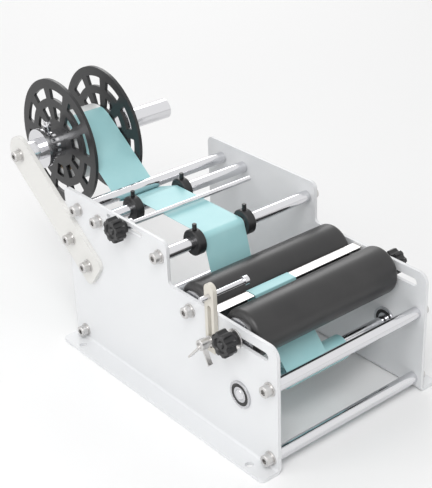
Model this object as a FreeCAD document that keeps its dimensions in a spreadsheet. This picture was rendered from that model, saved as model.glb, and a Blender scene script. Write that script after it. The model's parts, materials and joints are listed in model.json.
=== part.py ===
import FreeCAD, Part
import math
import os
import re
import Sketcher
from FreeCAD import Placement, Rotation, Vector

# A tabletop bottle labelling machine with a hand crank. Two side plates stand on outward feet and
# are tied by round bars. A label roll hangs on a tube at the back. Its web runs over the guide
# bars, behind and under the rear roller, over the peel plate between the two rollers, and the bare
# backing is wound on to the crank shaft below them.
# Lengths are in millimetres and angles in degrees. +X is the operator's right, +Y the back, +Z up.
# The origin is the middle of the four foot holes, on the surface that the machine stands on.
# A "setback" is measured back from the front edge of the side plates.
SIZES = {
    # side plates
    "plate_gap": 212, "plate_wall": 4, "plate_depth": 370,
    "plate_over_roller": 15.4, "plate_over_guide": 20.4, "plate_step_setback": 174,
    "front_corner": 13, "rear_corner": 8, "step_corner": 5,
    "foot_width": 23, "foot_bend": 3, "foot_corner": 6,
    "foot_hole_offset": 14.5, "foot_hole_front": 29, "foot_hole_rear": 337.5, "foot_hole": 4.5,
    # bolts, washers and nuts that tie the frame
    "bolt_radius": 4, "bolt_hole": 4.25, "bolt_bore": 4.05, "bolt_length": 20, "bolt_bore_depth": 18,
    "bolt_head": 6.5, "bolt_head_height": 8, "hex_key": 6, "hex_key_depth": 4,
    "washer_radius": 8, "washer_wall": 1.6, "nut_width": 13, "nut_height": 6.5,
    # cross bars
    "bar_radius": 7, "bar_chamfer": 0.8,
    "rear_guide_setback": 341.7, "middle_guide_setback": 300.7, "front_guide_setback": 187,
    "guide_height": 181.6, "front_tie_setback": 11.5, "upper_tie_drop": 35.7,
    "lower_tie_height": 15.4, "rear_tie_setback": 350.3, "rear_tie_height": 14.5,
    # bottle rollers
    "roller_height": 136.6, "rear_roller_setback": 136.8, "front_roller_setback": 63.2,
    "roller_radius": 28, "roller_round": 6, "sleeve_end_gap": 3.5,
    "core_radius": 20, "core_wall": 2.5, "core_end_gap": 1.5,
    "axle_radius": 7.5, "axle_play": 0.3, "roller_bearing_width": 11, "race_wall": 3.4,
    "race_gap": 0.3, "roller_slot": 4.8, "roller_travel": 45,
    # star knobs
    "knob_radius": 14.3, "knob_hub": 7.5, "knob_hub_length": 5, "knob_length": 19, "knob_dome": 2,
    "knob_flare": 2, "lobe_count": 8, "lobe_cut": 3.8, "lobe_cut_offset": 0.6, "knob_bore_gap": 0.05,
    "knob_recess": 8.8, "knob_recess_depth": 1.8, "knob_recess_draft": 1, "knob_boss": 4.6,
    "knob_thread": 14, "axle_washer_radius": 11,
    # rod that holds the web down
    "hold_rod_radius": 3, "hold_rod_setback": 249.4, "hold_rod_rise": 12.8, "hold_rod_reach": 178,
    "hold_slot": 3.3, "hold_travel_front": 29, "hold_travel_rear": 31,
    "hold_collar_radius": 6, "hold_collar_length": 6,
    # guide collars on the bars
    "collar_radius": 15, "collar_width": 11, "collar_chamfer": 1.2, "sliding_gap": 0.1,
    "guide_screw_radius": 1.9, "guide_screw_head": 2.6, "guide_screw_rise": 7,
    # label reel
    "arm_wall": 5, "arm_width": 46, "arm_corner": 10, "arm_foot_setback": 324.1,
    "arm_foot_height": 116, "arm_foot_margin": 17, "arm_bolt_spacing": 40,
    "reel_setback": 455.9, "reel_height": 215.3,
    "tube_radius": 13, "tube_wall": 2.5, "tube_length": 215, "tube_plug": 24,
    "flange_radius": 80.2, "flange_wall": 4, "near_flange_offset": 49.8,
    "window_count": 10, "near_window_phase": 22, "far_window_phase": 8,
    "outer_window_inner": 56, "outer_window_outer": 68.5, "outer_window_half_angle": 12.5,
    "inner_window_inner": 30, "inner_window_outer": 46, "inner_window_half_angle": 10,
    "window_corner": 1.2,
    "hub_disc_radius": 24.5, "hub_disc_wall": 6, "hub_radius": 17, "hub_length": 27.8,
    "hub_screw_offset": 13.7, "hub_screw_radius": 2.5, "hub_screw_head": 4, "hub_screw_rise": 32.7,
    "hub_screw_head_length": 14, "hub_wing_half": 7.5, "hub_wing_radius": 3.5, "hub_wing_wall": 3,
    "screw_chamfer": 0.5,
    # labels and their backing
    "web_width": 58, "web_wall": 0.4, "web_gap": 0.3, "web_wrap": 25,
    "web_side_gap": 1.5, "guide_side_gap": 1,
    "roll_radius": 43, "roll_core_radius": 25.4, "roll_core_wall": 2.5, "roll_swing": 18,
    "coil_radius": 14.4, "coil_wall": 2.9, "coil_length": 86, "coil_start": 58,
    # peel plate
    "peel_width": 14, "peel_wall": 3, "peel_edge": 0.8, "peel_taper": 9, "peel_round": 1.4,
    "peel_rise": 13.4, "peel_room": 1.2,
    "peel_tab_wall": 2.5, "peel_tab_width": 12, "peel_tab_drop": 22, "peel_screw_drop": 14,
    "peel_screw_radius": 2.5, "peel_screw_head": 4.5, "peel_screw_head_height": 2.6,
    # bottle stop
    "stop_setback": 98, "stop_width": 15, "stop_wall": 5, "stop_top_rise": 50.4, "stop_gap": 0.2,
    "stop_length": 74, "stop_corner": 1.5, "stop_slot": 2.8, "stop_slot_rise": 21.8, "stop_travel_up": 6,
    "clamp_drop": 17, "clamp_radius": 2.5, "clamp_neck": 4.2, "clamp_neck_length": 5,
    "clamp_hub": 6.2, "clamp_hub_length": 8, "clamp_recess": 3.4, "clamp_recess_depth": 1.5,
    "clamp_nut_width": 8, "clamp_nut_height": 4,
    "wing_start": 1, "wing_width": 5.5, "wing_wall": 2, "wing_reach": 23.8, "wing_lean": 6,
    "front_wing_angle": 55, "rear_wing_angle": 37,
    "stop_screw_rise": 35.9, "stop_screw_radius": 3, "stop_screw_tip": 16.5, "stop_screw_length": 57.5,
    "stop_screw_head": 5, "stop_screw_head_length": 6, "stop_screw_key": 5, "stop_screw_key_depth": 3,
    # crank shaft that winds the backing
    "shaft_setback": 57.1, "shaft_height": 71.1, "shaft_radius": 6, "shaft_left_end": 2.6,
    "shaft_bearing_radius": 14, "shaft_bearing_width": 8, "bearing_flange": 15.5,
    "bearing_flange_wall": 2, "bearing_lip": 1.1, "inner_ring_wall": 2.9, "seal_recess": 0.4,
    "crank_offset": 26, "crank_throw": 50, "crank_wall": 6, "crank_end": 8, "crank_angle": 352,
    "crank_hub": 10, "crank_hub_length": 12,
    "grip_radius": 10, "grip_round": 3, "grip_length": 40, "grip_pin": 4, "grip_pin_head": 7,
    "pin_head_wall": 2, "grip_gap": 0.5,
}

# Places that follow from the sizes.
PLACES = {
    "front_y": "-(foot_hole_front + foot_hole_rear) / 2",
    "inner_x": "plate_gap / 2",
    "outer_x": "plate_gap / 2 + plate_wall",
    "rear_guide_y": "front_y + rear_guide_setback",
    "middle_guide_y": "front_y + middle_guide_setback",
    "front_guide_y": "front_y + front_guide_setback",
    "front_tie_y": "front_y + front_tie_setback",
    "rear_tie_y": "front_y + rear_tie_setback",
    "rear_roller_y": "front_y + rear_roller_setback",
    "front_roller_y": "front_y + front_roller_setback",
    "hold_rod_y": "front_y + hold_rod_setback",
    "shaft_y": "front_y + shaft_setback",
    "stop_y": "front_y + stop_setback",
    "reel_y": "front_y + reel_setback",
    "plate_front_height": "roller_height + plate_over_roller",
    "plate_rear_height": "guide_height + plate_over_guide",
    "upper_tie_height": "roller_height - upper_tie_drop",
    "hold_rod_height": "guide_height + hold_rod_rise",
    "clamp_height": "roller_height - clamp_drop",
    "stop_top": "roller_height + stop_top_rise",
    "stop_screw_height": "roller_height + stop_screw_rise",
    "stop_slot_top": "roller_height + stop_slot_rise",
    # the arm runs from its lower bolt on the left plate up to the reel
    "arm_foot_y": "front_y + arm_foot_setback",
    "arm_run": "reel_y - arm_foot_y",
    "arm_rise": "reel_height - arm_foot_height",
    "arm_reach": "sqrt(arm_run^2 + arm_rise^2)",
    "arm_length": "arm_reach + arm_foot_margin",
    "arm_angle": "atan(arm_rise / arm_run) / 1deg",
    # the reel, counted along the tube from the arm
    "web_left": "near_flange_offset + flange_wall + web_side_gap - outer_x",
    "web_right": "web_left + web_width",
    "near_flange_x": "near_flange_offset - outer_x",
    "far_flange_x": "web_right + web_side_gap",
    # the core hangs on the tube and swings back a little
    "core_drop": "roll_core_radius - tube_radius - web_gap",
    "roll_y": "reel_y + core_drop * sin(roll_swing)",
    "roll_z": "reel_height - core_drop * cos(roll_swing)",
    # the loose coil of backing hangs on the crank shaft
    "coil_z": "shaft_height - (coil_radius - coil_wall - shaft_radius - web_gap)",
    # the peel plate stands just in front of the rear roller
    "peel_top": "roller_height + peel_rise",
    "peel_reach": "roller_radius + peel_room + peel_wall / 2",
    "peel_rear_y": "rear_roller_y - sqrt(peel_reach^2 - (peel_rise - peel_wall / 2)^2) + peel_wall / 2",
    "peel_front_y": "peel_rear_y - peel_width",
    "crank_x": "outer_x + crank_offset",
    "grip_y": "shaft_y + crank_throw * cos(crank_angle)",
    "grip_z": "shaft_height + crank_throw * sin(crank_angle)",
}

ALONG_X = Rotation(Vector(0, 0, 1), 0)
BACKWARDS = Rotation(Vector(0, 0, 1), 180)
UPWARDS = Rotation(Vector(0, 1, 0), -90)
WORD = re.compile(r"[a-z_][a-z_0-9]*")

doc = FreeCAD.newDocument("LabellingMachine")
subparts = []


def fill_sheet(label, cells, formula_of):
    sheet = doc.addObject("Spreadsheet::Sheet", label)
    for row, name in enumerate(cells, 1):
        sheet.set(f"A{row}", name)
        sheet.setAlias(f"B{row}", name)
    for row, content in enumerate(cells.values(), 1):
        sheet.set(f"B{row}", formula_of(content))
    return sheet


def with_prefixes(formula, prefixes):
    return WORD.sub(lambda word: prefixes.get(word[0], "") + word[0], str(formula))


SIZE_PREFIXES = {name: "Sizes." for name in SIZES}
ALL_PREFIXES = {**SIZE_PREFIXES, **{name: "Places." for name in PLACES}}
sizes = fill_sheet("Sizes", SIZES, str)
fill_sheet("Places", PLACES, lambda formula: "=" + with_prefixes(formula, SIZE_PREFIXES))
doc.recompute()


def linked(formula):
    """The formula with each named value written as its cell."""
    return with_prefixes(formula, ALL_PREFIXES)


def number(formula):
    return float(sizes.evalExpression(linked(formula)))


def bind(target, **formulas):
    for name, formula in formulas.items():
        target.setExpression(name, linked(formula))


def seat(target, x=0, y=0, z=0, turn=ALONG_X):
    target.Placement = Placement(Vector(), turn)
    for name, formula in (("x", x), ("y", y), ("z", z)):
        target.setExpression(f"Placement.Base.{name}", linked(formula))


def subpart(label, target):
    """Marks a finished piece: its label names its file."""
    target.Label = label
    subparts.append(target)
    return target


# Sketches

def sketch_on(body, role):
    sketch = body.newObject("Sketcher::SketchObject", f"{body.Name}Sketch")
    base_plane = next(item for item in body.Origin.OriginFeatures if item.Role == role)
    sketch.AttachmentSupport = [(base_plane, "")]
    sketch.MapMode = "FlatFace"
    return sketch


def drive(sketch, kind, formula, *geometry):
    index = sketch.addConstraint(Sketcher.Constraint(kind, *geometry, number(formula)))
    sketch.setExpression(f"Constraints[{index}]", linked(formula))


def pin(sketch, geometry, point, u, v):
    drive(sketch, "DistanceX", u, -1, 1, geometry, point)
    drive(sketch, "DistanceY", v, -1, 1, geometry, point)


def polygon(sketch, corners):
    spots = [Vector(number(u), number(v), 0) for u, v in corners]
    ends = spots[1:] + spots[:1]
    lines = [sketch.addGeometry(Part.LineSegment(*pair), False) for pair in zip(spots, ends)]
    for line, following in zip(lines, lines[1:] + lines[:1]):
        sketch.addConstraint(Sketcher.Constraint("Coincident", line, 2, following, 1))
    for line, (u, v) in zip(lines, corners):
        pin(sketch, line, 1, u, v)


def circle(sketch, u, v, radius):
    middle = Vector(number(u), number(v), 0)
    ring = sketch.addGeometry(Part.Circle(middle, Vector(0, 0, 1), number(radius)), False)
    pin(sketch, ring, 3, u, v)
    drive(sketch, "Radius", radius, ring)


def arc(sketch, middle, radius, start, end):
    curve = Part.ArcOfCircle(Part.Circle(middle, Vector(0, 0, 1), radius), start, end)
    return sketch.addGeometry(curve, False)


def slot(sketch, first, last, radius):
    """A round-ended slot between two centres, each a pair of formulas."""
    start, end = (Vector(number(u), number(v), 0) for u, v in (first, last))
    reach = number(radius)
    heading = math.atan2(end.y - start.y, end.x - start.x)
    side = Vector(-math.sin(heading), math.cos(heading), 0) * reach
    quarter = math.pi / 2
    start_arc = arc(sketch, start, reach, heading + quarter, heading + 3 * quarter)
    lower = sketch.addGeometry(Part.LineSegment(start - side, end - side), False)
    end_arc = arc(sketch, end, reach, heading - quarter, heading + quarter)
    upper = sketch.addGeometry(Part.LineSegment(end + side, start + side), False)
    ring = [start_arc, lower, end_arc, upper]
    for piece, following in zip(ring, ring[1:] + ring[:1]):
        sketch.addConstraint(Sketcher.Constraint("Tangent", piece, 2, following, 1))
    for curve, centre in ((start_arc, first), (end_arc, last)):
        pin(sketch, curve, 3, *centre)
        drive(sketch, "Radius", radius, curve)


def sector(sketch, inner, outer, half_angle):
    """A window between two radii and two spokes, centred on the sketch's first axis."""
    spread = math.radians(number(half_angle))
    spoke = [Vector(math.cos(angle), math.sin(angle), 0) for angle in (-spread, spread)]
    radii = (number(inner), number(outer))
    arcs = [arc(sketch, Vector(), radius, -spread, spread) for radius in radii]
    sides = [sketch.addGeometry(Part.LineSegment(ray * radii[0], ray * radii[1]), False) for ray in spoke]
    for curve, radius, line_end in zip(arcs, (inner, outer), (1, 2)):
        sketch.addConstraint(Sketcher.Constraint("Coincident", curve, 3, -1, 1))
        drive(sketch, "Radius", radius, curve)
        for side, curve_end in zip(sides, (1, 2)):
            sketch.addConstraint(Sketcher.Constraint("Coincident", side, line_end, curve, curve_end))
    for side, angle in zip(sides, (f"-{half_angle}", half_angle)):
        sketch.addConstraint(Sketcher.Constraint("PointOnObject", -1, 1, side))
        index = sketch.addConstraint(Sketcher.Constraint("Angle", side, math.radians(number(angle))))
        sketch.setExpression(f"Constraints[{index}]", linked(f"({angle}) * 1deg"))


# Features of a body

def pad(body, sketch, length, backwards=False, symmetric=False):
    feature = body.newObject("PartDesign::Pad", f"{body.Name}Pad")
    feature.Profile = sketch
    feature.Reversed = backwards
    feature.SideType = "Symmetric" if symmetric else "One side"
    bind(feature, Length=length)
    return feature


def pocket(body, sketch):
    """Cuts the sketch right through, and stops the build if nothing was cut."""
    doc.recompute()
    before = body.Shape.Volume
    feature = body.newObject("PartDesign::Pocket", f"{body.Name}Pocket")
    feature.Profile = sketch
    feature.Type = "ThroughAll"
    feature.SideType = "Symmetric"
    doc.recompute()
    if not body.Shape.Volume < before:
        raise RuntimeError(f"{body.Label}: a pocket cuts nothing")
    return feature


def round_edges(body, radius, wanted):
    """Rounds the edges of the body so far that wanted(edge) picks."""
    doc.recompute()
    base = body.Tip
    names = [f"Edge{index}" for index, edge in enumerate(base.Shape.Edges, 1) if wanted(edge)]
    feature = body.newObject("PartDesign::Fillet", f"{body.Name}Fillet")
    feature.Base = (base, names)
    bind(feature, Radius=radius)
    return feature


def polar(body, feature, axis, count):
    pattern = body.newObject("PartDesign::PolarPattern", f"{body.Name}Pattern")
    pattern.Originals = [feature]
    pattern.Axis = axis
    pattern.Angle = 360
    bind(pattern, Occurrences=count)
    body.Tip = pattern
    return pattern


def turned(name, profile, **place):
    """A body of revolution about its own X axis; the profile is (along, out) pairs."""
    body = doc.addObject("PartDesign::Body", name)
    sketch = sketch_on(body, "XY_Plane")
    polygon(sketch, profile)
    feature = body.newObject("PartDesign::Revolution", f"{name}Turn")
    feature.Profile = sketch
    feature.ReferenceAxis = (sketch, ["H_Axis"])
    feature.Angle = 360
    seat(body, **place)
    return body


def ring(name, inner, outer, length, **place):
    profile = [(0, inner), (length, inner), (length, outer), (0, outer)]
    return turned(name, profile, **place)


def hex_cut(name, base, across, depth):
    """The base with a hexagon socket sunk into its end at X = 0."""
    prism = doc.addObject("Part::Prism", f"{name}Key")
    prism.Polygon = 6
    prism.Placement = Placement(Vector(), Rotation(Vector(0, 1, 0), 90))
    bind(prism, Circumradius=f"{across} / sqrt(3)", Height=depth)
    cut = doc.addObject("Part::Cut", name)
    cut.Base = base
    cut.Tool = prism
    return cut


def copies(label, *sets):
    """One node that holds a copy of each set's pattern at each of its places (x, y, z, turn)."""
    doc.recompute()
    group = doc.addObject("Part::Feature", label)
    solids = []
    for pattern, spots in sets:
        for x, y, z, turn in spots:
            solid = pattern.Shape.copy()
            solid.Placement = Placement(Vector(number(x), number(y), number(z)), turn)
            solids.append(solid)
    group.Shape = Part.makeCompound(solids)
    group.Placement = Placement()
    return subpart(label, group)


def close(first, second):
    return abs(first - second) < 1e-4


def at_corner(u, v):
    """Picks the edges along X that pass a corner of the side view."""
    y, z = number(u), number(v)
    return lambda edge: all(close(p.Point.y, y) and close(p.Point.z, z) for p in edge.Vertexes)


# Frame

BARS = {
    "rear_guide_bar": ("rear_guide_y", "guide_height"),
    "middle_guide_bar": ("middle_guide_y", "guide_height"),
    "front_guide_bar": ("front_guide_y", "guide_height"),
    "upper_tie_bar": ("front_tie_y", "upper_tie_height"),
    "lower_tie_bar": ("front_tie_y", "lower_tie_height"),
    "rear_tie_bar": ("rear_tie_y", "rear_tie_height"),
}
ARM_BOLTS = [
    (f"arm_foot_y + {along} * arm_run / arm_reach", f"arm_foot_height + {along} * arm_rise / arm_reach")
    for along in ("0", "arm_bolt_spacing")
]


def in_plate(y):
    return f"{y} - front_y"


def side_plate(label, side):
    """A plate with a stepped top and a foot bent outwards; side is -1 left or +1 right."""
    body = doc.addObject("PartDesign::Body", label)
    seat(body, x=f"{side} * inner_x", y="front_y")
    outline = sketch_on(body, "YZ_Plane")
    corners = {
        "front": ("0", "plate_front_height"),
        "step": ("plate_step_setback", "plate_front_height"),
        "step_top": ("plate_step_setback", "plate_rear_height"),
        "rear": ("plate_depth", "plate_rear_height"),
    }
    polygon(outline, [("0", "0"), *corners.values(), ("plate_depth", "0")])
    pad(body, outline, "plate_wall", backwards=side < 0)
    for name, radius in (("front", "front_corner"), ("step", "step_corner"),
                         ("step_top", "rear_corner"), ("rear", "rear_corner")):
        round_edges(body, radius, at_corner(*corners[name]))

    foot = sketch_on(body, "YZ_Plane")
    polygon(foot, [("0", "0"), ("plate_depth", "0"), ("plate_depth", "plate_wall"), ("0", "plate_wall")])
    pad(body, foot, "plate_wall + foot_width", backwards=side < 0)
    wall, foot_end = number("plate_wall"), number("plate_wall + foot_width")

    def bend(x, z):
        return lambda edge: all(close(abs(p.Point.x), x) and close(p.Point.z, z) for p in edge.Vertexes)

    round_edges(body, "foot_bend", bend(wall, wall))
    round_edges(body, "foot_bend + plate_wall", bend(0, 0))
    round_edges(body, "foot_corner", lambda edge: all(
        close(abs(p.Point.x), foot_end) for p in edge.Vertexes) and close(edge.Length, wall))

    holes = sketch_on(body, "YZ_Plane")
    bolts = [*BARS.values(), ("rear_roller_y", "roller_height")]
    if side < 0:
        bolts += ARM_BOLTS
    for y, z in bolts:
        circle(holes, in_plate(y), z, "bolt_hole")
    circle(holes, in_plate("shaft_y"), "shaft_height", "shaft_bearing_radius")
    circle(holes, in_plate("(peel_front_y + peel_rear_y) / 2"), "peel_top - peel_screw_drop",
           "peel_screw_radius")
    slot(holes, (in_plate("front_roller_y - roller_travel"), "roller_height"),
         (in_plate("front_roller_y"), "roller_height"), "roller_slot")
    if side < 0:
        slot(holes, (in_plate("hold_rod_y - hold_travel_front"), "hold_rod_height"),
             (in_plate("hold_rod_y + hold_travel_rear"), "hold_rod_height"), "hold_slot")
        circle(holes, in_plate("stop_y"), "clamp_height", "clamp_radius + sliding_gap")
    pocket(body, holes)

    foot_holes = sketch_on(body, "XY_Plane")
    for setback in ("foot_hole_front", "foot_hole_rear"):
        circle(foot_holes, f"{side} * (plate_wall + foot_hole_offset)", setback, "foot_hole")
    pocket(body, foot_holes)
    return subpart(label, body)


def cross_bar(label, y, z, radius="bar_radius"):
    """A round bar between the plates, bored at both ends for its bolts."""
    far, edge = "plate_gap", f"{radius} - bar_chamfer"
    profile = [
        (0, "bolt_bore"), (0, edge), ("bar_chamfer", radius),
        (f"{far} - bar_chamfer", radius), (far, edge), (far, "bolt_bore"),
        (f"{far} - bolt_bore_depth", "bolt_bore"), (f"{far} - bolt_bore_depth", 0),
        ("bolt_bore_depth", 0), ("bolt_bore_depth", "bolt_bore"),
    ]
    subpart(label, turned(label, profile, x="-inner_x", y=y, z=z))


side_plate("left_plate", -1)
side_plate("right_plate", 1)
for bar_label, (bar_y, bar_z) in BARS.items():
    cross_bar(bar_label, bar_y, bar_z)


# Bolts, washers and nuts

def bolt_spots(from_outer, both_sides, left_only):
    """Places of fasteners that lie from_outer outside the plates or the arm."""
    spots = []
    for y, z in both_sides:
        spots.append((f"-outer_x - {from_outer}", y, z, ALONG_X))
        spots.append((f"outer_x + {from_outer}", y, z, BACKWARDS))
    spots += [(f"-outer_x - arm_wall - {from_outer}", y, z, ALONG_X) for y, z in left_only]
    return spots


TIED = [*BARS.values(), ("rear_roller_y", "roller_height")]
ON_ARM = [("reel_y", "reel_height"), *ARM_BOLTS]
bolt_blank = turned("BoltBlank", [
    (0, 0), (0, "bolt_head - 0.6"), (0.6, "bolt_head"), ("bolt_head_height", "bolt_head"),
    ("bolt_head_height", "bolt_radius"), ("bolt_head_height + bolt_length", "bolt_radius"),
    ("bolt_head_height + bolt_length", 0),
])
bolt = hex_cut("SocketBolt", bolt_blank, "hex_key", "hex_key_depth")
copies("socket_bolts", (bolt, bolt_spots("(washer_wall + bolt_head_height)", TIED, ON_ARM)))
washer = ring("WasherBlank", "bolt_hole", "washer_radius", "washer_wall")
clamp_washer = ring("ClampWasher", "clamp_radius + sliding_gap", "clamp_hub", "washer_wall")
copies("washers", (washer, bolt_spots("washer_wall", TIED, ON_ARM)),
       (clamp_washer, [("-outer_x - stop_gap - stop_wall - stop_gap / 2 - washer_wall", "stop_y",
                        "clamp_height", ALONG_X)]))



def hex_nut(name, across, height, bore):
    blank = doc.addObject("Part::Prism", f"{name}Blank")
    blank.Polygon = 6
    hole = doc.addObject("Part::Cylinder", f"{name}Bore")
    blank.Placement = hole.Placement = Placement(Vector(), Rotation(Vector(0, 1, 0), 90))
    bind(blank, Circumradius=f"{across} / sqrt(3)", Height=height)
    bind(hole, Radius=bore, Height=height)
    cut = doc.addObject("Part::Cut", name)
    cut.Base = blank
    cut.Tool = hole
    return cut


arm_nut = hex_nut("ArmNut", "nut_width", "nut_height", "bolt_bore")
clamp_nut = hex_nut("ClampNut", "clamp_nut_width", "clamp_nut_height", "clamp_radius + knob_bore_gap")
copies("plate_nuts", (arm_nut, [("-inner_x", y, z, ALONG_X) for y, z in ARM_BOLTS]),
       (clamp_nut, [("-inner_x", "stop_y", "clamp_height", ALONG_X)]))


# Bottle rollers

def roller(name, y, axle_is_fixed):
    """A rubber-covered tube that turns on two bearings, and the races on its axle."""
    tube = dict(x="-inner_x + core_end_gap", y=y, z="roller_height")
    subpart(f"{name}_roller_core", ring(
        f"{name}Core", "core_radius - core_wall", "core_radius", "plate_gap - 2 * core_end_gap", **tube))
    sleeve = ring(f"{name}Sleeve", "core_radius", "roller_radius", "plate_gap - 2 * sleeve_end_gap",
                  x="-inner_x + sleeve_end_gap", y=y, z="roller_height")
    rim = number("roller_radius")
    round_edges(sleeve, "roller_round", lambda edge: close(getattr(edge.Curve, "Radius", 0), rim))
    subpart(f"{name}_roller_sleeve", sleeve)

    race_inside = "core_radius - core_wall - race_wall"
    outer_race = ring(f"{name}OuterRace", race_inside, "core_radius - core_wall", "roller_bearing_width")
    inner_race = ring(f"{name}InnerRace", "axle_radius", f"{race_inside} - race_gap", "roller_bearing_width")
    ends = [("-inner_x + core_end_gap", y, "roller_height", ALONG_X),
            ("inner_x - core_end_gap", y, "roller_height", BACKWARDS)]
    copies(f"{name}_roller_bearings", (outer_race, ends))
    copies(f"{name}_axle_races", (inner_race, ends))
    if axle_is_fixed:
        cross_bar(f"{name}_axle", y, "roller_height", "axle_radius")
        return
    # the axle slides, and a stud at each end carries a knob outside the plate
    stud_end = "plate_wall + axle_play + washer_wall + axle_play + knob_thread"
    stub = "2 * inner_x - axle_play"
    subpart(f"{name}_axle", turned(f"{name}Axle", [
        (f"-({stud_end})", 0), (f"-({stud_end})", "bolt_radius"), ("axle_play", "bolt_radius"),
        ("axle_play", "axle_radius"), (stub, "axle_radius"), (stub, "bolt_radius"),
        (f"plate_gap + {stud_end}", "bolt_radius"), (f"plate_gap + {stud_end}", 0),
    ], x="-inner_x", y=y, z="roller_height"))
    axle_washer = ring(f"{name}Washer", "bolt_hole", "axle_washer_radius", "washer_wall")
    copies(f"{name}_axle_washers", (axle_washer, [
        ("-outer_x - axle_play - washer_wall", y, "roller_height", ALONG_X),
        ("outer_x + axle_play + washer_wall", y, "roller_height", BACKWARDS)]))


def star_knob(label, stud_radius, **place):
    """A knob with lobes and a recessed face, a hub towards the plate and a blind threaded bore."""
    bore = f"{stud_radius} + knob_bore_gap"
    neck = "knob_hub_length + knob_flare"
    floor = "knob_length - knob_recess_depth"
    knob = turned(label + "Body", [
        (0, bore), (0, "knob_hub"), ("knob_hub_length", "knob_hub"), (neck, "knob_radius"),
        ("knob_length", "knob_radius"), ("knob_length", "knob_recess"),
        (floor, "knob_recess - knob_recess_draft"), (floor, "knob_boss"),
        ("knob_length", "knob_boss - knob_recess_draft"), ("knob_length", 0),
        ("knob_thread", 0), ("knob_thread", bore),
    ], **place)
    front, rim = number("knob_length"), number("knob_radius")
    round_edges(knob, "knob_dome", lambda edge: close(getattr(edge.Curve, "Radius", 0), rim)
                and close(edge.Vertexes[0].Point.x, front))
    cut = sketch_on(knob, "YZ_Plane")
    circle(cut, "knob_radius + lobe_cut_offset", "0", "lobe_cut")
    notch = pocket(knob, cut)
    polar(knob, notch, (cut, ["N_Axis"]), "lobe_count")
    subpart(label, knob)


roller("rear", "rear_roller_y", axle_is_fixed=True)
roller("front", "front_roller_y", axle_is_fixed=False)
KNOB_STAND = "outer_x + 2 * axle_play + washer_wall"
star_knob("left_roller_knob", "bolt_radius", x=f"-({KNOB_STAND})", y="front_roller_y",
          z="roller_height", turn=BACKWARDS)
star_knob("right_roller_knob", "bolt_radius", x=KNOB_STAND, y="front_roller_y", z="roller_height")


# Hold-down rod and guide collars

hold_stud_end = "plate_wall + axle_play + knob_thread"
hold_collar_end = "axle_play + hold_collar_length"
subpart("hold_rod", turned("HoldRod", [
    (f"-({hold_stud_end})", 0), (f"-({hold_stud_end})", "hold_rod_radius"),
    ("axle_play", "hold_rod_radius"), ("axle_play", "hold_collar_radius"),
    (hold_collar_end, "hold_collar_radius"), (hold_collar_end, "hold_rod_radius"),
    ("hold_rod_reach - bar_chamfer", "hold_rod_radius"),
    ("hold_rod_reach", "hold_rod_radius - bar_chamfer"), ("hold_rod_reach", 0),
], x="-inner_x", y="hold_rod_y", z="hold_rod_height"))
star_knob("hold_rod_knob", "hold_rod_radius", x="-outer_x - axle_play", y="hold_rod_y",
          z="hold_rod_height", turn=BACKWARDS)


def radial_hole(body, along, radius):
    """Drills from the axis of a turned body out through its top."""
    hole = sketch_on(body, "XY_Plane")
    circle(hole, along, "0", radius)
    feature = pocket(body, hole)
    feature.SideType = "One side"
    feature.Reversed = True
    doc.recompute()


def radial_screw(label, start, neck_radius, head_start, head_radius, end, **place):
    """A screw that points up from the axis of the round piece that it clamps."""
    return subpart(label, turned(label + "Turn", [
        (start, 0), (start, neck_radius), (head_start, neck_radius), (head_start, head_radius),
        (f"{end} - screw_chamfer", head_radius), (end, f"{head_radius} - screw_chamfer"), (end, 0),
    ], turn=UPWARDS, **place))


def guide_collar(name, x, bar):
    """A ring that stops the web from wandering along its bar."""
    y, z = BARS[bar]
    bore, edge = "bar_radius + sliding_gap", "collar_radius - collar_chamfer"
    collar = turned(name + "Body", [
        (0, bore), (0, edge), ("collar_chamfer", "collar_radius"),
        ("collar_width - collar_chamfer", "collar_radius"), ("collar_width", edge), ("collar_width", bore),
    ], x=x, y=y, z=z)
    radial_hole(collar, "collar_width / 2", "guide_screw_radius + sliding_gap")
    subpart(f"{name}_collar", collar)
    radial_screw(
        f"{name}_thumbscrew", "bar_radius + web_gap", "guide_screw_radius", "collar_radius + web_gap",
        "guide_screw_head", "collar_radius + guide_screw_rise",
        x=f"{x} + collar_width / 2", y=y, z=z)


for bar_name in ("middle", "front"):
    guide_collar(f"{bar_name}_guide_left", "web_left - guide_side_gap - collar_width",
                 f"{bar_name}_guide_bar")
    guide_collar(f"{bar_name}_guide_right", "web_right + guide_side_gap", f"{bar_name}_guide_bar")


# Label reel

def tongue(sketch, length, width):
    """An outline that is round about the sketch's origin and square at the far end."""
    half, reach = number(width) / 2, number(length)
    quarter = math.pi / 2
    round_end = arc(sketch, Vector(), half, quarter, 3 * quarter)
    spots = [Vector(0, -half, 0), Vector(reach, -half, 0), Vector(reach, half, 0), Vector(0, half, 0)]
    lower, end, upper = (
        sketch.addGeometry(Part.LineSegment(*pair), False) for pair in zip(spots, spots[1:]))
    sketch.addConstraint(Sketcher.Constraint("Tangent", round_end, 2, lower, 1))
    sketch.addConstraint(Sketcher.Constraint("Coincident", lower, 2, end, 1))
    sketch.addConstraint(Sketcher.Constraint("Coincident", end, 2, upper, 1))
    sketch.addConstraint(Sketcher.Constraint("Tangent", upper, 2, round_end, 1))
    pin(sketch, round_end, 3, "0", "0")
    drive(sketch, "Radius", f"{width} / 2", round_end)
    pin(sketch, end, 1, length, f"-{width} / 2")
    pin(sketch, end, 2, length, f"{width} / 2")


def tilt(target, angle):
    """Turns a seated piece about its X axis."""
    target.Placement.Rotation = Rotation(Vector(1, 0, 0), number(angle))
    target.setExpression("Placement.Rotation.Angle", linked(angle))


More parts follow.
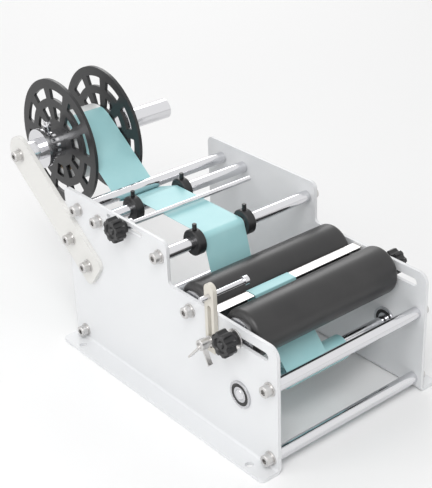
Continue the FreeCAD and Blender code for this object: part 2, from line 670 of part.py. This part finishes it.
def reel_arm():
    body = doc.addObject("PartDesign::Body", "ReelArm")
    seat(body, x="-outer_x", y="reel_y", z="reel_height")
    tilt(body, "180 + arm_angle")
    outline = sketch_on(body, "YZ_Plane")
    tongue(outline, "arm_length", "arm_width")
    pad(body, outline, "arm_wall", backwards=True)
    for edge_side in ("arm_width / 2", "-arm_width / 2"):
        round_edges(body, "arm_corner", at_corner("arm_length", edge_side))
    holes = sketch_on(body, "YZ_Plane")
    for along in ("0", "arm_reach - arm_bolt_spacing", "arm_reach"):
        circle(holes, along, "0", "bolt_hole")
    pocket(body, holes)
    subpart("reel_arm", body)


def reel_flange(label, x, phase):
    """A disc with a ring of wide windows near its rim and one of narrow windows near its hub."""
    disc = ring(label + "Disc", "tube_radius + sliding_gap", "flange_radius", "flange_wall",
                x=x, y="reel_y", z="reel_height")
    tilt(disc, phase)
    windows = sketch_on(disc, "YZ_Plane")
    sector(windows, "outer_window_inner", "outer_window_outer", "outer_window_half_angle")
    sector(windows, "inner_window_inner", "inner_window_outer", "inner_window_half_angle")
    opening = pocket(disc, windows)
    polar(disc, opening, (windows, ["N_Axis"]), "window_count")
    wall, rim = number("flange_wall"), number("flange_radius - sliding_gap")
    round_edges(disc, "window_corner", lambda edge: close(edge.Length, wall)
                and number("tube_radius + 2 * sliding_gap") < edge.Vertexes[0].Point.Length < rim)
    subpart(label, disc)


def reel_hub(name, x, turn):
    """The sliding hub that a flange is fixed to, with its winged thumbscrew."""
    bore = "tube_radius + sliding_gap"
    hub = turned(name + "Hub", [
        (0, bore), (0, "hub_disc_radius"), ("hub_disc_wall", "hub_disc_radius"),
        ("hub_disc_wall", "hub_radius"), ("hub_length", "hub_radius"), ("hub_length", bore),
    ], x=x, y="reel_y", z="reel_height", turn=turn)
    radial_hole(hub, "hub_screw_offset", "hub_screw_radius + sliding_gap")
    subpart(f"{name}_flange_hub", hub)
    step = "hub_screw_offset" if turn is ALONG_X else "-hub_screw_offset"
    screw = radial_screw(
        f"{name}_flange_thumbscrew", "tube_radius + web_gap", "hub_screw_radius",
        "hub_screw_rise - hub_screw_head_length", "hub_screw_head", "hub_screw_rise",
        x=f"{x} + {step}", y="reel_y", z="reel_height")
    wings = sketch_on(screw, "XY_Plane")
    height, reach = "hub_screw_rise - hub_wing_radius", "hub_wing_half - hub_wing_radius"
    slot(wings, (height, f"-({reach})"), (height, reach), "hub_wing_radius")
    pad(screw, wings, "hub_wing_wall", symmetric=True)


reel_arm()
subpart("reel_tube", turned("ReelTube", [
    (0, "bolt_bore"), (0, "tube_radius"), ("tube_length - bar_chamfer", "tube_radius"),
    ("tube_length", "tube_radius - bar_chamfer"), ("tube_length", "tube_radius - tube_wall"),
    ("tube_plug", "tube_radius - tube_wall"), ("tube_plug", "bolt_bore"),
], x="-outer_x", y="reel_y", z="reel_height"))
reel_flange("near_flange", "near_flange_x", "near_window_phase")
reel_flange("far_flange", "far_flange_x", "far_window_phase")
reel_hub("near", "near_flange_x - hub_length", ALONG_X)
reel_hub("far", "far_flange_x + flange_wall + hub_length", BACKWARDS)
roll_place = dict(x="web_left", y="roll_y", z="roll_z")
roll_core_outside = "roll_core_radius + roll_core_wall"
subpart("roll_core", ring("RollCore", "roll_core_radius", roll_core_outside, "web_width", **roll_place))
subpart("label_roll", ring("LabelRoll", roll_core_outside, "roll_radius", "web_width", **roll_place))


# Web of labels

def around(y, z, radius, turn):
    """One stop of the web: its centre, the radius of the web's middle and +1 left or -1 right."""
    return Vector(0, number(y), number(z)), number(f"{radius} + web_gap + web_wall / 2"), turn


def left_of(heading):
    return Vector(0, -heading.z, heading.y)


def swung(spot, middle, angle):
    return middle + Rotation(Vector(1, 0, 0), angle).multVec(spot - middle)


def straight_run(first, last):
    """The ends of the straight stretch that touches two stops."""
    (start, start_radius, start_turn), (end, end_radius, end_turn) = first, last
    span = end - start
    lean = math.acos((end_turn * end_radius - start_turn * start_radius) / span.Length)
    normal = swung(span.normalize(), Vector(), math.degrees(lean))
    return start - normal * (start_turn * start_radius), end - normal * (end_turn * end_radius)


def web_route(stops):
    """The web's stretches in order: (begin, end, middle, turn), with no middle where it is straight.

    They start with the arc round the first stop, and an arc and a straight run take turns.
    """
    runs = [straight_run(*pair) for pair in zip(stops, stops[1:])]
    wrap = number("web_wrap")
    (roll, _, roll_turn), (coil, _, coil_turn) = stops[0], stops[-1]
    arrivals = [swung(runs[0][0], roll, -wrap * roll_turn)] + [end for _, end in runs]
    departures = [start for start, _ in runs] + [swung(runs[-1][1], coil, wrap * coil_turn)]
    route = []
    for (middle, _, turn), begin, end in zip(stops, arrivals, departures):
        if route:
            route.append((route[-1][1], begin, None, 0))
        route.append((begin, end, middle, turn))
    return route


def shifted_edge(stretch, shift):
    """One stretch as an edge, moved to the left of the web's way."""
    begin, end, middle, turn = stretch
    if middle is None:
        aside = left_of(end - begin).normalize() * shift
        return Part.makeLine(begin + aside, end + aside)
    scale = 1 - turn * shift / (begin - middle).Length
    start_spoke, end_spoke = (begin - middle) * scale, (end - middle) * scale
    sweep = math.degrees(start_spoke.getAngle(end_spoke))
    if left_of(start_spoke).dot(end_spoke) * turn < 0:
        sweep = 360 - sweep
    start = middle + start_spoke
    return Part.Arc(start, swung(start, middle, turn * sweep / 2), middle + end_spoke).toShape()


def web_strip(label, stretches):
    half = number("web_wall") / 2
    left, right = ([shifted_edge(stretch, side) for stretch in stretches] for side in (half, -half))
    start_cap = Part.makeLine(*(side[0].valueAt(side[0].FirstParameter) for side in (left, right)))
    end_cap = Part.makeLine(*(side[-1].valueAt(side[-1].LastParameter) for side in (left, right)))
    outline = Part.Wire(Part.__sortEdges__([*left, end_cap, *right, start_cap]))
    strip = doc.addObject("Part::Feature", label)
    strip.Shape = Part.Face(outline).extrude(Vector(number("web_width"), 0, 0))
    seat(strip, x="web_left")
    subpart(label, strip)


STOPS = {
    "roll": around("roll_y", "roll_z", "roll_radius", 1),
    "rear guide": around("rear_guide_y", "guide_height", "bar_radius", -1),
    "middle guide": around("middle_guide_y", "guide_height", "bar_radius", 1),
    "front guide": around("front_guide_y", "guide_height", "bar_radius", 1),
    "rear roller": around("rear_roller_y", "roller_height", "roller_radius", -1),
    "plate's rear": around("peel_rear_y - peel_wall / 2", "peel_top - peel_wall / 2", "peel_wall / 2", 1),
    "knife edge": around("peel_front_y + peel_edge / 2", "peel_top - peel_edge / 2", "peel_edge / 2", 1),
    "front roller": around("front_roller_y", "roller_height", "roller_radius", -1),
    "coil": around("shaft_y", "coil_z", "coil_radius", 1),
}
route = web_route(list(STOPS.values()))
leaves = {name: 2 * place + 1 for place, name in enumerate(STOPS)}
web_strip("web_over_bars", route[:leaves["front guide"]])
web_strip("web_to_peel_edge", route[leaves["front guide"]:leaves["knife edge"]])
web_strip("bare_backing", route[leaves["knife edge"]:])
subpart("wound_backing", ring("WoundBacking", "coil_radius - coil_wall", "coil_radius", "coil_length",
                              x="coil_start - outer_x", y="shaft_y", z="coil_z"))


# Peel plate

def peel_plate():
    """A plate with a knife edge at the front, hung between the side plates by two turned-down tabs."""
    body = doc.addObject("PartDesign::Body", "PeelPlate")
    seat(body, y="(peel_front_y + peel_rear_y) / 2", z="peel_top")
    section = sketch_on(body, "YZ_Plane")
    front, rear = "-peel_width / 2", "peel_width / 2"
    polygon(section, [
        (front, "0"), (front, "-peel_edge"), (f"{front} + peel_taper", "-peel_wall"),
        (rear, "-peel_wall"), (rear, "0"),
    ])
    pad(body, section, "plate_gap", symmetric=True)
    for height in ("0", "-peel_wall"):
        round_edges(body, "peel_round", at_corner(rear, height))
    tabs = sketch_on(body, "XZ_Plane")
    for side in ("-", ""):
        outside, inside = f"{side}inner_x", f"{side}(inner_x - peel_tab_wall)"
        polygon(tabs, [(outside, "-peel_wall / 2"), (outside, "-peel_tab_drop"),
                       (inside, "-peel_tab_drop"), (inside, "-peel_wall / 2")])
    pad(body, tabs, "peel_tab_width", symmetric=True)
    holes = sketch_on(body, "YZ_Plane")
    circle(holes, "0", "-peel_screw_drop", "peel_screw_radius")
    pocket(body, holes)
    subpart("peel_plate", body)


peel_plate()
screw_blank = turned("PeelScrew", [
    (0, 0), (0, "peel_screw_head - screw_chamfer"), ("screw_chamfer", "peel_screw_head"),
    ("peel_screw_head_height", "peel_screw_head"), ("peel_screw_head_height", "peel_screw_radius"),
    ("peel_screw_head_height + peel_tab_wall + plate_wall", "peel_screw_radius"),
    ("peel_screw_head_height + peel_tab_wall + plate_wall", 0),
])
screw_reach = "inner_x - peel_tab_wall - peel_screw_head_height"
screw_y, screw_z = "(peel_front_y + peel_rear_y) / 2", "peel_top - peel_screw_drop"
copies("peel_plate_screws", (screw_blank, [
    (screw_reach, screw_y, screw_z, ALONG_X), (f"-({screw_reach})", screw_y, screw_z, BACKWARDS)]))


# Bottle stop

def stop_bar():
    """A slotted bar outside the left plate, which carries the stop screw."""
    body = doc.addObject("PartDesign::Body", "StopBar")
    seat(body, x="-outer_x - stop_gap", y="stop_y", z="stop_top - stop_width / 2")
    tilt(body, "270")
    outline = sketch_on(body, "YZ_Plane")
    tongue(outline, "stop_length", "stop_width")
    pad(body, outline, "stop_wall", backwards=True)
    for edge_side in ("stop_width / 2", "-stop_width / 2"):
        round_edges(body, "stop_corner", at_corner("stop_length", edge_side))
    cuts = sketch_on(body, "YZ_Plane")
    top = "stop_top - stop_width / 2"
    slot(cuts, (f"{top} - stop_slot_top", "0"), (f"{top} - clamp_height + stop_travel_up", "0"), "stop_slot")
    circle(cuts, f"{top} - stop_screw_height", "0", "stop_screw_radius + knob_bore_gap")
    pocket(body, cuts)
    subpart("stop_bar", body)


def stop_clamp():
    """The wing bolt that clamps the bar: a neck, and a hub with two wings that lean outwards."""
    head = "stop_gap + stop_wall + stop_gap + washer_wall"
    stud = f"{head} + plate_wall + clamp_nut_height"
    hub_end = "clamp_neck_length + clamp_hub_length"
    clamp = turned("StopClamp", [
        (f"-({stud})", 0), (f"-({stud})", "clamp_radius"), (0, "clamp_radius"), (0, "clamp_neck"),
        ("clamp_neck_length", "clamp_neck"), ("clamp_neck_length", "clamp_hub"),
        (f"{hub_end} - screw_chamfer", "clamp_hub"), (hub_end, "clamp_hub - screw_chamfer"),
        (hub_end, "clamp_recess"), (f"{hub_end} - clamp_recess_depth", "clamp_recess"),
        (f"{hub_end} - clamp_recess_depth", 0),
    ], x=f"-outer_x - ({head})", y="stop_y", z="clamp_height", turn=BACKWARDS)
    wing_root = "clamp_neck_length + wing_start"
    root_end = f"{wing_root} + wing_width"
    for angle in ("270 + front_wing_angle", "270 - rear_wing_angle"):
        wing = sketch_on(clamp, "XY_Plane")
        wing.AttachmentOffset = Placement(Vector(), Rotation(Vector(1, 0, 0), number(angle)))
        wing.setExpression("AttachmentOffset.Rotation.Angle", linked(angle))
        polygon(wing, [
            (wing_root, "clamp_radius"), (root_end, "clamp_radius"),
            (f"{root_end} + wing_lean", "wing_reach"), (f"{wing_root} + wing_lean", "wing_reach"),
        ])
        pad(clamp, wing, "wing_wall", symmetric=True)
    subpart("stop_clamp", clamp)


stop_bar()
stop_clamp()
screw_end = "stop_screw_head_length + stop_screw_length"
stop_screw_turn = turned("StopScrewBlank", [
    (0, 0), (0, "stop_screw_head - screw_chamfer"), ("screw_chamfer", "stop_screw_head"),
    ("stop_screw_head_length", "stop_screw_head"), ("stop_screw_head_length", "stop_screw_radius"),
    (f"{screw_end} - screw_chamfer", "stop_screw_radius"),
    (screw_end, "stop_screw_radius - screw_chamfer"), (screw_end, 0),
])
stop_screw = hex_cut("StopScrew", stop_screw_turn, "stop_screw_key", "stop_screw_key_depth")
seat(stop_screw, x=f"-outer_x - stop_screw_tip + {screw_end}", y="stop_y", z="stop_screw_height",
     turn=BACKWARDS)
subpart("stop_screw", stop_screw)


# Crank shaft and crank

def shaft_bearings():
    """A flanged bearing in each plate: the outer ring, its seals and the ring on the shaft."""
    seat_radius, lip = "shaft_bearing_radius", "shaft_bearing_radius - bearing_lip"
    inner_ring = "shaft_radius + inner_ring_wall"
    housing = turned("BearingRing", [
        (0, lip), (0, "bearing_flange"), ("bearing_flange_wall", "bearing_flange"),
        ("bearing_flange_wall", seat_radius), ("shaft_bearing_width", seat_radius),
        ("shaft_bearing_width", lip),
    ])
    seal = ring("BearingSeal", f"{inner_ring} + race_gap", lip, "shaft_bearing_width - 2 * seal_recess")
    race = ring("ShaftRace", "shaft_radius", inner_ring, "shaft_bearing_width")
    starts = ("-outer_x - bearing_flange_wall", "inner_x - bearing_flange_wall")
    for label, pattern, inset in (("shaft_bearings", housing, "0"),
                                  ("shaft_bearing_seals", seal, "seal_recess"),
                                  ("shaft_races", race, "0")):
        copies(label, (pattern, [
            (f"{start} + {inset}", "shaft_y", "shaft_height", ALONG_X) for start in starts]))


def crank():
    """The arm and its hub on the shaft, and a grip that turns on a headed pin."""
    arm = doc.addObject("PartDesign::Body", "CrankArm")
    seat(arm, x="crank_x", y="shaft_y", z="shaft_height")
    tilt(arm, "crank_angle")
    outline = sketch_on(arm, "YZ_Plane")
    slot(outline, ("0", "0"), ("crank_throw", "0"), "crank_end")
    pad(arm, outline, "crank_wall")
    hub = sketch_on(arm, "YZ_Plane")
    circle(hub, "0", "0", "crank_hub")
    pad(arm, hub, "crank_hub_length", backwards=True)
    bores = sketch_on(arm, "YZ_Plane")
    circle(bores, "0", "0", "shaft_radius")
    circle(bores, "crank_throw", "0", "grip_pin")
    pocket(arm, bores)
    subpart("crank_arm", arm)
    pin_neck = "crank_wall + grip_length + 2 * grip_gap"
    subpart("crank_pin", turned("CrankPin", [
        (0, 0), (0, "grip_pin"), (pin_neck, "grip_pin"), (pin_neck, "grip_pin_head"),
        (f"{pin_neck} + pin_head_wall", "grip_pin_head"), (f"{pin_neck} + pin_head_wall", 0),
    ], x="crank_x", y="grip_y", z="grip_z"))
    grip = ring("CrankGrip", "grip_pin + sliding_gap", "grip_radius", "grip_length",
                x="crank_x + crank_wall + grip_gap", y="grip_y", z="grip_z")
    outside = number("grip_radius")
    round_edges(grip, "grip_round", lambda edge: close(getattr(edge.Curve, "Radius", 0), outside))
    subpart("crank_grip", grip)


shaft_left = "-outer_x - shaft_left_end"
shaft_length = f"crank_x + crank_wall - ({shaft_left})"
subpart("crank_shaft", turned("CrankShaft", [
    (0, 0), (0, "shaft_radius - bar_chamfer"), ("bar_chamfer", "shaft_radius"),
    (shaft_length, "shaft_radius"), (shaft_length, 0),
], x=shaft_left, y="shaft_y", z="shaft_height"))
shaft_bearings()
crank()

doc.recompute()
for item in doc.Objects:
    if {"Invalid", "Error"} & set(item.State):
        raise RuntimeError(f"{item.Label} did not build: {item.State}")
os.makedirs("parts", exist_ok=True)
for piece in subparts:
    if piece.Shape.isNull() or not piece.Shape.isValid():
        raise RuntimeError(f"{piece.Label} has no valid shape")
    piece.Shape.exportStep(f"parts/{piece.Label}.step")
print(len(subparts), "sub-parts")
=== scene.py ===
"""The looks of a tabletop bottle labelling machine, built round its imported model.

Two white plates on feet carry two rubber rollers, chrome bars, a peel plate and a reel of labels.
Everything is in metres: +X is the operator's right, +Y the back and +Z up.
"""
import json
import math

import bpy
from mathutils import Matrix, Vector

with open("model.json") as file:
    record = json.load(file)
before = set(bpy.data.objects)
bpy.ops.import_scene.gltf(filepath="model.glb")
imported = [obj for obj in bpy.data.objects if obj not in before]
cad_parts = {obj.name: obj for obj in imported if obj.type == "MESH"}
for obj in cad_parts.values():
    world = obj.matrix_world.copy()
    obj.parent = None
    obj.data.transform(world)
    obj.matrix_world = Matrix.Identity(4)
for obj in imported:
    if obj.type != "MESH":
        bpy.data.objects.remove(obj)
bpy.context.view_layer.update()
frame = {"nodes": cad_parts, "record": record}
NODES = frame["nodes"]


# ------------------------------------------------------------------ finishes

# How a noise is stretched for lines that run along X, along X on long grain, or round the X axis.
DRAWN_ALONG = (0.02, 1, 1)
ROUND_THE_AXIS = (1, 0.05, 0.05)
ROUND_THE_ROLLER = (1, 0.15, 0.15)
ACROSS_THE_FILM = (1, 0.3, 0.3)

# How far the corners of painted, plated and moulded pieces look rounded.
PAINTED_EDGE = 0.0009
PLATED_EDGE = 0.0003
MOULDED_EDGE = 0.0004

# How deep the finest marks lie.
FINE_MARK = 0.0001
PEEL_DEPTH = 0.0002
HAIRLINE = 0.00005


class Wire:
    """One socket of a finish's node tree, so that shader maths reads as ordinary sums."""

    def __init__(self, finish, socket):
        self.finish = finish
        self.socket = socket

    def _sum(self, operation, first, second):
        return self.finish.node("ShaderNodeMath", [first, second], operation=operation)

    def __add__(self, other):
        return self._sum("ADD", self, other)

    def __radd__(self, other):
        return self._sum("ADD", other, self)

    def __sub__(self, other):
        return self._sum("SUBTRACT", self, other)

    def __rsub__(self, other):
        return self._sum("SUBTRACT", other, self)

    def __mul__(self, other):
        return self._sum("MULTIPLY", self, other)

    def __rmul__(self, other):
        return self._sum("MULTIPLY", other, self)


class Finish:
    """A material with one glossy shader, and the nodes that vary it."""

    def __init__(self, name, colour, roughness, metallic=0.0, fixed=()):
        self.material = bpy.data.materials.new(name)
        self.material.use_nodes = True
        self.tree = self.material.node_tree
        self.shader = self.tree.nodes["Principled BSDF"]
        self.shader.inputs["Base Color"].default_value = (*colour, 1)
        self.shader.inputs["Roughness"].default_value = roughness
        self.shader.inputs["Metallic"].default_value = metallic
        for socket, value in dict(fixed).items():
            self.shader.inputs[socket].default_value = value

    def node(self, kind, values=(), out=0, **settings):
        """Adds a node, sets it up, feeds its sockets and gives back one of its outputs."""
        made = self.tree.nodes.new(kind)
        for key, value in settings.items():
            setattr(made, key, value)
        pairs = values.items() if isinstance(values, dict) else enumerate(values)
        for socket, value in pairs:
            if isinstance(value, Wire):
                self.tree.links.new(value.socket, made.inputs[socket])
            else:
                made.inputs[socket].default_value = value
        return Wire(self, made.outputs[out])

    def noise(self, scale, detail, stretch=(1, 1, 1)):
        """Smooth noise over the piece, in metres, stretched along its axes."""
        spot = self.node("ShaderNodeTexCoord", out="Object")
        place = self.node("ShaderNodeMapping", {"Vector": spot, "Scale": stretch})
        return self.node("ShaderNodeTexNoise", {"Vector": place, "Scale": scale, "Detail": detail})

    def mix(self, factor, first, second):
        """A colour between two colours."""
        return self.node("ShaderNodeMix", {0: factor, 6: (*first, 1), 7: (*second, 1)}, out=2,
                         data_type="RGBA")

    def feed(self, socket, wire):
        self.tree.links.new(wire.socket, self.shader.inputs[socket])

    def bump(self, height, strength, distance, base=None):
        """Raises the surface by a height, over a base normal where one is given."""
        values = {"Height": height, "Strength": strength, "Distance": distance}
        if base is not None:
            values["Normal"] = base
        self.feed("Normal", self.node("ShaderNodeBump", values))

    def soft_edges(self, radius):
        """The worn, slightly rounded look of a piece's edges."""
        return self.node("ShaderNodeBevel", {"Radius": radius}, samples=4)


def powder_coat(name, colour, shade):
    """Thick baked paint with a fine orange peel and a trace of handling."""
    coat = Finish(name, colour, 0.42, fixed={"Coat Weight": 0.15, "Coat Roughness": 0.3})
    clouds = coat.noise(9, 4)
    coat.feed("Base Color", coat.mix(clouds, colour, shade))
    coat.feed("Roughness", coat.noise(60, 2) * 0.12 + 0.36)
    coat.bump(coat.noise(1400, 2), 0.12, PEEL_DEPTH, coat.soft_edges(PAINTED_EDGE))
    return coat.material


def polished(name, colour, rough, streaks):
    """Plated or ground metal with faint lines drawn along it."""
    metal = Finish(name, colour, rough, 1.0)
    lines = metal.noise(2200, 2, DRAWN_ALONG)
    metal.feed("Roughness", lines * streaks + rough)
    metal.bump(lines, 0.03, HAIRLINE, metal.soft_edges(PLATED_EDGE))
    return metal.material


def turned_steel():
    """Bare steel with the rings that a lathe leaves round the X axis."""
    steel = Finish("turned_steel", (0.50, 0.50, 0.51), 0.3, 1.0)
    rings = steel.noise(2600, 2, ROUND_THE_AXIS)
    steel.feed("Roughness", rings * 0.25 + 0.2)
    steel.bump(rings, 0.08, FINE_MARK)
    return steel.material


def roller_rubber():
    """Smooth ground rubber, slightly dusty, with fine lines round the roller."""
    rubber = Finish("roller_rubber", (0.018, 0.018, 0.019), 0.4, fixed={"Specular IOR Level": 0.55})
    dust = rubber.noise(35, 5)
    rubber.feed("Base Color", rubber.mix(dust, (0.012, 0.012, 0.013), (0.032, 0.031, 0.031)))
    rubber.feed("Roughness", rubber.noise(14, 4) * 0.22 + 0.26)
    rubber.bump(rubber.noise(900, 2, ROUND_THE_ROLLER), 0.06, FINE_MARK)
    return rubber.material


def moulded(name, colour, rough, grain):
    """Moulded plastic, rubber or board with a fine grain in its surface."""
    plastic = Finish(name, colour, rough)
    plastic.feed("Roughness", plastic.noise(300, 3) * 0.18 + rough - 0.06)
    plastic.bump(plastic.noise(grain, 2), 0.12, FINE_MARK, plastic.soft_edges(MOULDED_EDGE))
    return plastic.material


def release_film():
    """Smooth cyan backing paper with a faint cross grain."""
    film = Finish("release_film", (0.36, 0.66, 0.69), 0.38)
    film.feed("Base Color", film.mix(film.noise(40, 4), (0.33, 0.63, 0.66), (0.43, 0.71, 0.73)))
    film.bump(film.noise(700, 2, ACROSS_THE_FILM), 0.05, FINE_MARK)
    return film.material


def label_stock():
    """Coated white paper."""
    paper = Finish("label_stock", (0.80, 0.82, 0.82), 0.45)
    paper.feed("Base Color", paper.mix(paper.noise(120, 4), (0.78, 0.80, 0.80), (0.84, 0.85, 0.85)))
    paper.bump(paper.noise(1500, 2), 0.04, FINE_MARK)
    return paper.material


FINISHES = {
    "white_powder_coat": powder_coat("white_powder_coat", (0.78, 0.79, 0.80), (0.74, 0.75, 0.765)),
    "arm_powder_coat": powder_coat("arm_powder_coat", (0.76, 0.755, 0.73), (0.72, 0.715, 0.69)),
    "cream_paint": powder_coat("cream_paint", (0.70, 0.67, 0.60), (0.64, 0.61, 0.54)),
    "chrome": polished("chrome", (0.72, 0.72, 0.74), 0.07, 0.10),
    "stainless": polished("stainless", (0.62, 0.61, 0.60), 0.22, 0.2),
    "turned_steel": turned_steel(),
    "bearing_steel": polished("bearing_steel", (0.58, 0.58, 0.60), 0.16, 0.14),
    "bearing_seal": moulded("bearing_seal", (0.02, 0.02, 0.02), 0.5, 1200),
    "black_rubber": roller_rubber(),
    "black_plastic": moulded("black_plastic", (0.016, 0.016, 0.017), 0.32, 1400),
    "black_flange": moulded("black_flange", (0.014, 0.014, 0.015), 0.30, 1800),
    "label_paper": label_stock(),
    "core_board": moulded("core_board", (0.42, 0.33, 0.23), 0.75, 600),
    "backing_film": release_film(),
}
for entry in frame["record"]["subparts"]:
    shown = NODES[entry["node"]]
    shown.data.materials.clear()
    shown.data.materials.append(FINISHES[entry["material_slot"]])


# ------------------------------------------------------------------ stage, lamps and camera

FLOOR_DROP = 0.0002
MACHINE_MIDDLE = (0, 0, 0.1)
AMBIENT_STRENGTH = 0.55
WHITE = (1, 1, 1, 1)

# Each lamp's name, place, size and watts.
LAMPS = (
    ("key", (-1.2, -1.2, 2.2), 1.6, 34),
    ("fill", (-2.2, 0.6, 1.2), 1.8, 12),
    ("back", (1.4, 2.0, 1.8), 1.6, 18),
)

CAMERA_ANGLES = (-39.35, 27.55, -1.787)
CAMERA_TARGET = (0.1049, 0.14115, 0.0802)
CAMERA_DISTANCE = 1.5205
CAMERA_LENS = 87.04
CAMERA_SHIFT = (-0.0344, -0.0223)


def stage():
    bpy.ops.mesh.primitive_plane_add(size=30, location=(0, 0, -FLOOR_DROP))
    floor = bpy.context.object
    floor.name = "floor"
    white = Finish("floor_white", (0.93, 0.93, 0.93), 0.9)
    floor.data.materials.append(white.material)


def lamp(name, place, size, watts):
    light = bpy.data.lights.new(name, "AREA")
    light.shape = "DISK"
    light.size = size
    light.energy = watts
    holder = bpy.data.objects.new(name, light)
    holder.location = place
    aim = Vector(MACHINE_MIDDLE) - Vector(place)
    holder.rotation_euler = aim.to_track_quat("-Z", "Y").to_euler()
    bpy.context.scene.collection.objects.link(holder)


def surroundings():
    """A soft grey room that lights the machine and shows as a white backdrop."""
    world = bpy.data.worlds.new("studio")
    bpy.context.scene.world = world
    world.use_nodes = True
    nodes, links = world.node_tree.nodes, world.node_tree.links
    ambient = nodes["Background"]
    ambient.inputs["Color"].default_value = WHITE
    ambient.inputs["Strength"].default_value = AMBIENT_STRENGTH
    backdrop = nodes.new("ShaderNodeBackground")
    backdrop.inputs["Color"].default_value = WHITE
    rays = nodes.new("ShaderNodeLightPath")
    seen = rays.outputs["Is Camera Ray"]
    for kind in ("Is Glossy Ray", "Is Transmission Ray"):
        either = nodes.new("ShaderNodeMath")
        either.operation = "MAXIMUM"
        links.new(seen, either.inputs[0])
        links.new(rays.outputs[kind], either.inputs[1])
        seen = either.outputs[0]
    chooser = nodes.new("ShaderNodeMixShader")
    links.new(seen, chooser.inputs[0])
    links.new(ambient.outputs[0], chooser.inputs[1])
    links.new(backdrop.outputs[0], chooser.inputs[2])
    links.new(chooser.outputs[0], nodes["World Output"].inputs["Surface"])


def camera():
    """Looks down on the left front corner from an operator's height."""
    azimuth, elevation, roll = (math.radians(angle) for angle in CAMERA_ANGLES)
    back = Vector((math.sin(azimuth) * math.cos(elevation), -math.cos(azimuth) * math.cos(elevation),
                   math.sin(elevation)))
    right = Vector((math.cos(azimuth), math.sin(azimuth), 0))
    up = back.cross(right)
    level = math.cos(roll), math.sin(roll)
    columns = (right * level[0] + up * level[1], up * level[0] - right * level[1], back)
    lens = bpy.data.cameras.new("camera")
    lens.sensor_width = 36
    lens.lens = CAMERA_LENS
    lens.shift_x, lens.shift_y = CAMERA_SHIFT
    holder = bpy.data.objects.new("camera", lens)
    turn = Matrix(columns).transposed().to_4x4()
    place = Vector(CAMERA_TARGET) + back * CAMERA_DISTANCE
    holder.matrix_world = Matrix.Translation(place) @ turn
    bpy.context.scene.collection.objects.link(holder)
    bpy.context.scene.camera = holder


stage()
for name, place, size, watts in LAMPS:
    lamp(name, place, size, watts)
surroundings()
camera()
bpy.context.scene.view_settings.view_transform = "Standard"
